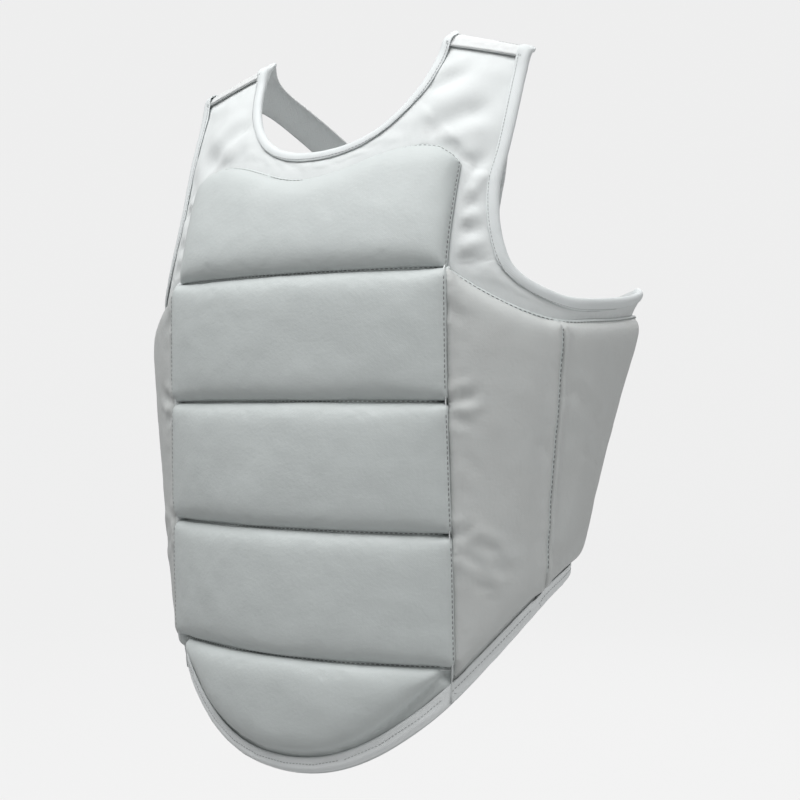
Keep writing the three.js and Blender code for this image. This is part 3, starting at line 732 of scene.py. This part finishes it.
def pucker_group():
    """Small puckers that the stitches draw into the cloth beside a seam, as a height."""
    group, inputs, outputs = node_group("stitch_pucker", {"Pitch": STITCH["pitch"]}, ["Height"])
    place = group.nodes.new("ShaderNodeTexCoord")
    across = group.nodes.new("ShaderNodeSeparateXYZ")
    group.links.new(place.outputs["Object"], across.inputs[0])
    near = group.nodes.new("ShaderNodeAttribute")
    near.attribute_name = "seam"
    turns = maths(group, "DIVIDE", math.tau, inputs.outputs["Pitch"])
    waves = [maths(group, "SINE", maths(group, "MULTIPLY", across.outputs[axis], turns))
             for axis in ("X", "Z")]
    close = maths(group, "POWER", near.outputs["Fac"], PUCKER_POWER)
    height = maths(group, "MULTIPLY", maths(group, "ADD", *waves), close)
    group.links.new(height, outputs.inputs["Height"])
    return group


def placed(tree, group, **values):
    node = tree.nodes.new("ShaderNodeGroup")
    node.node_tree = bpy.data.node_groups[group]
    for name, value in values.items():
        node.inputs[name].default_value = value
    return node.outputs[0]


def colour_mix(tree, factor, first, second):
    """A colour between two, where first may be a socket."""
    node = tree.nodes.new("ShaderNodeMix")
    node.data_type = "RGBA"
    tree.links.new(factor, node.inputs[0])
    if isinstance(first, bpy.types.NodeSocket):
        tree.links.new(first, node.inputs[6])
    else:
        node.inputs[6].default_value = (*first, 1)
    node.inputs[7].default_value = (*second, 1)
    return node.outputs[2]


def bumped(tree, height, depth, normal=None):
    node = tree.nodes.new("ShaderNodeBump")
    node.inputs["Distance"].default_value = depth
    tree.links.new(height, node.inputs["Height"])
    if normal is not None:
        tree.links.new(normal, node.inputs["Normal"])
    return node.outputs[0]


def cloth_material(name, clean, faded, dusty, dust, period, weave, grain, roughness, sheen,
                   pucker=None):
    """A cloth: mottled colour, painted shade and dust along its seams, puckers there, threads and
    a fine grain.
    """
    material = bpy.data.materials.new(name)
    material.use_nodes = True
    tree = material.node_tree
    shader = tree.nodes["Principled BSDF"]
    shader.inputs["Sheen Weight"].default_value = sheen
    shader.inputs["Sheen Roughness"].default_value = SHEEN_ROUGHNESS
    shader.inputs["Specular IOR Level"].default_value = SPECULAR
    cloud = placed(tree, "cloth_mottle", Size=CLOUD_SIZE)
    fine = placed(tree, "cloth_mottle", Size=GRAIN_SIZE)
    colour = colour_mix(tree, cloud, clean, faded)
    # Darker towards the seams: painted shade of the seam valleys, with some dust
    colour = colour_mix(tree, placed(tree, "seam_dust", Amount=dust), colour, dusty)
    tree.links.new(colour, shader.inputs["Base Color"])
    gloss = tree.nodes.new("ShaderNodeMapRange")
    gloss.inputs["To Min"].default_value = roughness - GLOSS_SPREAD
    gloss.inputs["To Max"].default_value = roughness + GLOSS_SPREAD
    tree.links.new(cloud, gloss.inputs["Value"])
    tree.links.new(gloss.outputs[0], shader.inputs["Roughness"])
    normal = bumped(tree, placed(tree, "plain_weave", Period=period), weave)
    normal = bumped(tree, fine, grain, normal)
    if pucker:
        normal = bumped(tree, placed(tree, "stitch_pucker", Pitch=STITCH["pitch"]), pucker, normal)
    tree.links.new(normal, shader.inputs["Normal"])
    return material


weave_group()
mottle_group()
seam_group()
pucker_group()
MATERIALS = {name: cloth_material(name, **values) for name, values in CLOTHS.items()}


def dressed(piece, slot, *nodes, material=None):
    """Gives a finished piece its material and its place on the part."""
    only(piece)
    bpy.ops.object.shade_smooth()
    piece.data.materials.clear()
    piece.data.materials.append(MATERIALS[material or slot])
    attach(piece, "root")
    if nodes:
        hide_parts(*nodes)


def mark_seams(piece, edges, reach):
    """Stores how near each point lies to the piece's seams, for the painted shade, dust and
    puckers there.
    """
    tree = points_tree([seam_top(point) for run in edges for point in run])
    seam = piece.data.attributes.new("seam", "FLOAT", "POINT")
    for number, vertex in enumerate(piece.data.vertices):
        seam.data[number].value = math.exp(-(tree.find(vertex.co)[2] / reach) ** 2)


# Pads

def cover_name(node):
    return node.replace("_pad", "_padding")


def corner_rise(point, from_hem):
    """How far the margin at an upper corner of the tongue comes up to its neighbours."""
    along = TONGUE_CORNER["place"] - Vector((abs(point.x), point.y, point.z))
    start, end = TONGUE_CORNER["from_hem"]
    clear = smooth((from_hem - start) / (end - start))
    return TONGUE_CORNER["rise"] * clear * math.exp(-(along.length / TONGUE_CORNER["width"]) ** 2)


def padded_cover(node):
    """The cover of one foam pad: rounded, swollen over its foam, creased by its seams."""
    slot, fill = PADS[node]
    piece = cloth_copy(node, cover_name(node))
    with editing(piece):
        bpy.ops.mesh.select_mode(type="EDGE")
        bpy.ops.mesh.select_all(action="DESELECT")
        bpy.ops.mesh.edges_select_sharp(sharpness=SHARP_EDGE)
        bpy.ops.transform.edge_crease(value=1)
    refined(piece, PAD_ROUNDING)
    piece.data.remesh_voxel_size = PAD_VOXEL
    only(piece)
    bpy.ops.object.voxel_remesh()
    low, high = PAD_PIN
    facing = [vertex.normal.dot(outward(vertex.co)) for vertex in piece.data.vertices]
    swollen(piece, [1 - smooth((value - low) / (high - low)) for value in facing], **PAD_CLOTH)
    creases = []
    if slot == "side_cover":
        creases = crease_list(SIDE_CREASES, -1 if node.startswith("right") else 1)
    uprights = upright_seams()
    lifted(piece, lambda point: upright_fill(point, uprights, UPRIGHT["fill"]))
    if node == "tongue_pad":
        hem = points_tree([seam_top(point) for run in EDGES[node] for point in run
                           if point["way"].z > HEM_WAY])
        lifted(piece, lambda point: corner_rise(point, hem.find(point)[2]))

    def push(point):
        closing = upright_fill(point, uprights, UPRIGHT["closing"])
        return closing + crease_push(point, creases) + unevenness(point, **PAD_UNEVEN)

    moved(piece, push)
    refined(piece, PAD_FINISH)
    mark_seams(piece, EDGES[node], DUST_AND_SHADE_REACH.get(node, DUST_AND_SHADE_REACH["pad"]))
    dressed(piece, slot, node)
    return piece


def upright_row_place(point, covers):
    """A place on an upright seam, as high as the finished covers on both sides of it."""
    over, normal = seam_top(point), point["normal"]
    beside = point["way"] * UPRIGHT["shoulder"]
    heights = []
    for step in (-beside, beside):
        start = over + step + normal * ROW_RAY["above"] * MM
        hit = covers.ray_cast(start, -normal, ROW_RAY["length"] * MM)[0]
        if hit:
            heights.append((hit - over).dot(normal))
    return over + normal * (max(heights, default=0) - UPRIGHT["sink"])


def lowered(row, depth):
    return [point - outward(point) * depth for point in row]


def seam_rows():
    """The seams between pads as runs of points, each carried by one of the pads there."""
    covers = surface_of(*(bpy.data.objects[cover_name(node)] for node in PADS))
    rows = []
    for node in PADS:
        if node == "tongue_pad":
            continue
        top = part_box(node)[1].z
        for run in EDGES[node]:
            line, kept = [], []
            for point in [*run, run[0]]:
                place = point["place"]
                if point["wall"] > UPRIGHT["wall"]:
                    line.append(upright_row_place(point, covers))
                else:
                    line.append(seam_top(point) + point["normal"] * STITCH_LIFT)
                if "front_side" in node:
                    kept.append(abs(place.x) > CENTRE_SIDE and place.z > FRONT_SIDE_TOP)
                elif "rear_side" in node:
                    kept.append(place.z > SIDE_HEM)
                else:
                    level = place.z < top - TOP_CLEAR and abs(place.x) < SEAM_END
                    kept.append(node == "chest_pad" or level or point["wall"] > UPRIGHT["wall"])
            rows += split_runs(line, kept, LONGEST_STEP)
    return rows


# Thin cloth

def cloth_sheet(node, name, creases=()):
    """A thin sheet: the outer skin of its solid, refined, slackened, creased and thickened."""
    sheet = SHEETS[node]
    piece = skin_of(node, name, 1)
    refined(piece, sheet["levels"])
    mesh = bmesh.new()
    mesh.from_mesh(piece.data)
    border = [vertex.co.copy() for vertex in mesh.verts if vertex.is_boundary]
    mesh.free()
    tree = points_tree(border)
    low, high = SHEET_PIN
    free = [smooth((tree.find(vertex.co)[2] - low) / (high - low))
            for vertex in piece.data.vertices]
    if sheet["cloth"]:
        swollen(piece, [1 - share for share in free], **sheet["cloth"])

    def push(point):
        return crease_push(point, creases) + unevenness(point, SHEET_UNEVEN, sheet["uneven"])

    shifted(piece, [vertex.normal * share * push(vertex.co)
                    for vertex, share in zip(piece.data.vertices, free)])
    applied(piece, "SOLIDIFY", thickness=SHEET_THICKNESS, offset=-1)
    mark_seams(piece, EDGES[node], DUST_AND_SHADE_REACH["sheet"])
    return piece


def lining_cloth():
    """The plain cloth behind the pads: their inner faces, each lapped behind its neighbours."""
    patches = []
    for node in PADS:
        patch = skin_of(node, node + "_lining", -1)
        refined(patch, PAD_ROUNDING)
        lapped(patch, LINING["lap"])
        moved(patch, lambda point: LINING["sink"])
        applied(patch, "SOLIDIFY", thickness=LINING["thickness"], offset=1)
        patches.append(patch)
    return joined(patches, "lining")


# Tapes and edge stitches

def edge_tape(node, name, cloth_nodes):
    """A folded tape with round folds and slight ripples, whose free edge lies on its cloth."""
    piece = cloth_copy(node, name)
    refined(piece, TAPE_ROUNDING)
    rim = [point for cloth in cloth_nodes for run in EDGES[cloth] for point in run]
    tree = points_tree([point["place"] for point in rim])
    start, end = TAPE_REST["from"], TAPE_REST["to"]
    steps = []
    for vertex in piece.data.vertices:
        edge = rim[tree.find(vertex.co)[1]]
        offset = vertex.co - edge["place"]
        height = offset.dot(edge["normal"])
        inside = (offset - edge["normal"] * height).length
        step = 0
        if height > edge["wall"] / 2:
            step = -TAPE_REST["drop"] * smooth((inside - start) / (end - start))
            if node == "hem_binding":
                step += HEM_RIDGE["height"] * (1 - (inside / HEM_RIDGE["width"] % 1 * 2 - 1) ** 2)
        steps.append(edge["normal"] * step)
    shifted(piece, steps)
    applied(piece, "SMOOTH", **TAPE_SMOOTHING)
    moved(piece, lambda point: unevenness(point, **TAPE_RIPPLE))
    # The hem's brighter copy of the tape cloth is painted light
    dressed(piece, "edge_tape", node, material="hem_tape" if node == "hem_binding" else None)
    return piece


def edge_stitches():
    """Rows of stitches along the tapes, the straps and the upper hem of the back."""
    rows = []
    for piece, (nodes, distance) in SEWN_EDGES.items():
        surface = surface_of(bpy.data.objects[piece])
        low, high = SEWN_WAY.get(piece, ANY_WAY)
        for run in (run for node in nodes for run in EDGES[node]):
            line, kept = [], []
            for point in [*run, run[0]]:
                place, up = point["place"] + point["way"] * distance, point["up"]
                start = place + up * SEW_RAY["above"] * MM
                hit = surface.ray_cast(start, -up, SEW_RAY["length"] * MM)[0]
                line.append((hit or place) + up * TAPE_STITCH_LIFT)
                kept.append(hit is not None and low <= point["way"].z <= high)
            rows += split_runs(line, kept, LONGEST_STEP)
    return joined([stitch_row(row, **TAPE_STITCH) for row in rows], "edge_stitches")


# The part, from the inside out

EDGES = {node: edge_runs(node) for node in [*PADS, *SHEETS]}

lining = lining_cloth()
dressed(lining, "back_cloth")
for pad in PADS:
    padded_cover(pad)

yoke = cloth_sheet("yoke", "yoke_sheet", crease_list(YOKE_CREASES))
dressed(yoke, "yoke_cloth", "yoke")

back = cloth_sheet("back_panel", "back_sheet")
dressed(back, "back_cloth", "back_panel")

for side in ("left", "right"):
    strap = cloth_sheet(side + "_back_strap", side + "_strap_sheet")
    # The straps' paler cloth is partly painted light over their shaded inner side
    dressed(strap, "strap_cloth", side + "_back_strap")

for binding, cloth_nodes in TAPED.items():
    edge_tape(binding, binding.replace("binding", "tape"), cloth_nodes)

seams = seam_rows()
stitches = joined([stitch_row(row, **STITCH) for row in seams], "pad_stitches")
# The thread's dark colour is partly painted shade of the needle holes
dressed(stitches, "pad_cover", material="thread")
welts = joined([seam_welt(lowered(row, WELT), WELT) for row in seams], "seam_welts")
dressed(welts, "pad_cover")
dressed(edge_stitches(), "edge_tape", material="tape_thread")


# Studio

def studio_sweep():
    """A round pale floor whose rim curves up all round."""
    radius, wall, steps = SWEEP["radius"], SWEEP["wall"], SWEEP["steps"]
    bpy.ops.object.select_all(action="DESELECT")
    bpy.ops.mesh.primitive_circle_add(
        vertices=SWEEP["sides"], radius=radius, fill_type="NGON", location=(0, 0, SWEEP["floor"]))
    sweep = bpy.context.object
    sweep.name = sweep.data.name = "studio_sweep"
    bpy.ops.object.transform_apply(location=True)
    with editing(sweep):
        bpy.ops.mesh.select_mode(type="EDGE")
        bpy.ops.mesh.select_all(action="SELECT")
        reach, height = radius, 0
        for step in range(1, steps + 1):
            angle = math.pi / 2 * step / steps
            wider, higher = radius + wall * math.sin(angle), wall * (1 - math.cos(angle))
            bpy.ops.mesh.extrude_edges_move()
            bpy.ops.transform.resize(value=(wider / reach, wider / reach, 1),
                                     center_override=(0, 0, 0))
            bpy.ops.transform.translate(value=(0, 0, higher - height))
            reach, height = wider, higher
        bpy.ops.mesh.extrude_edges_move()
        bpy.ops.transform.translate(value=(0, 0, SWEEP["height"]))
    only(sweep)
    bpy.ops.object.shade_smooth()
    sweep.data.materials.append(studio_paper())


def studio_paper():
    """Pale paper. The camera sees it evenly lit, and it throws less light back onto the part."""
    paper = bpy.data.materials.new("studio_paper")
    paper.use_nodes = True
    tree = paper.node_tree
    tree.nodes.clear()
    seen, lit = (tree.nodes.new("ShaderNodeBsdfPrincipled") for _ in range(2))
    for shader, grey, glow in ((seen, PAPER["grey"], PAPER["glow"]), (lit, PAPER["bounce"], 0)):
        shader.inputs["Base Color"].default_value = (grey, grey, grey, 1)
        shader.inputs["Roughness"].default_value = 1
        shader.inputs["Specular IOR Level"].default_value = 0
        shader.inputs["Emission Color"].default_value = (1, 1, 1, 1)
        shader.inputs["Emission Strength"].default_value = glow
    ray = tree.nodes.new("ShaderNodeLightPath")
    mix = tree.nodes.new("ShaderNodeMixShader")
    output = tree.nodes.new("ShaderNodeOutputMaterial")
    tree.links.new(ray.outputs["Is Camera Ray"], mix.inputs["Fac"])
    tree.links.new(lit.outputs[0], mix.inputs[1])
    tree.links.new(seen.outputs[0], mix.inputs[2])
    tree.links.new(mix.outputs[0], output.inputs["Surface"])
    return paper


def turned(place, aim):
    return (Vector(aim) - Vector(place)).to_track_quat("-Z", "Y").to_euler()


def area_light(name, place, aim, size, power):
    bpy.ops.object.light_add(type="AREA", location=place)
    light = bpy.context.object
    light.name = name
    light.data.shape = "RECTANGLE"
    light.data.size, light.data.size_y = size
    light.data.energy = power
    light.visible_camera = False
    light.rotation_euler = turned(place, aim)


def camera():
    bpy.ops.object.camera_add(location=CAMERA["place"])
    view = bpy.context.object
    view.rotation_euler = turned(CAMERA["place"], CAMERA["aim"])
    view.data.lens = CAMERA["lens"]
    view.data.sensor_width = CAMERA["sensor"]
    view.data.clip_start = CAMERA["clip"]
    bpy.context.scene.camera = view


studio_sweep()
for light_name, light_values in LIGHTS.items():
    area_light(light_name, **light_values)
world = bpy.data.worlds.new("studio_world")
bpy.context.scene.world = world
world.use_nodes = True
world.node_tree.nodes["Background"].inputs["Color"].default_value = (1, 1, 1, 1)
world.node_tree.nodes["Background"].inputs["Strength"].default_value = WORLD_GLOW
camera()
bpy.context.scene.view_settings.view_transform = "Standard"
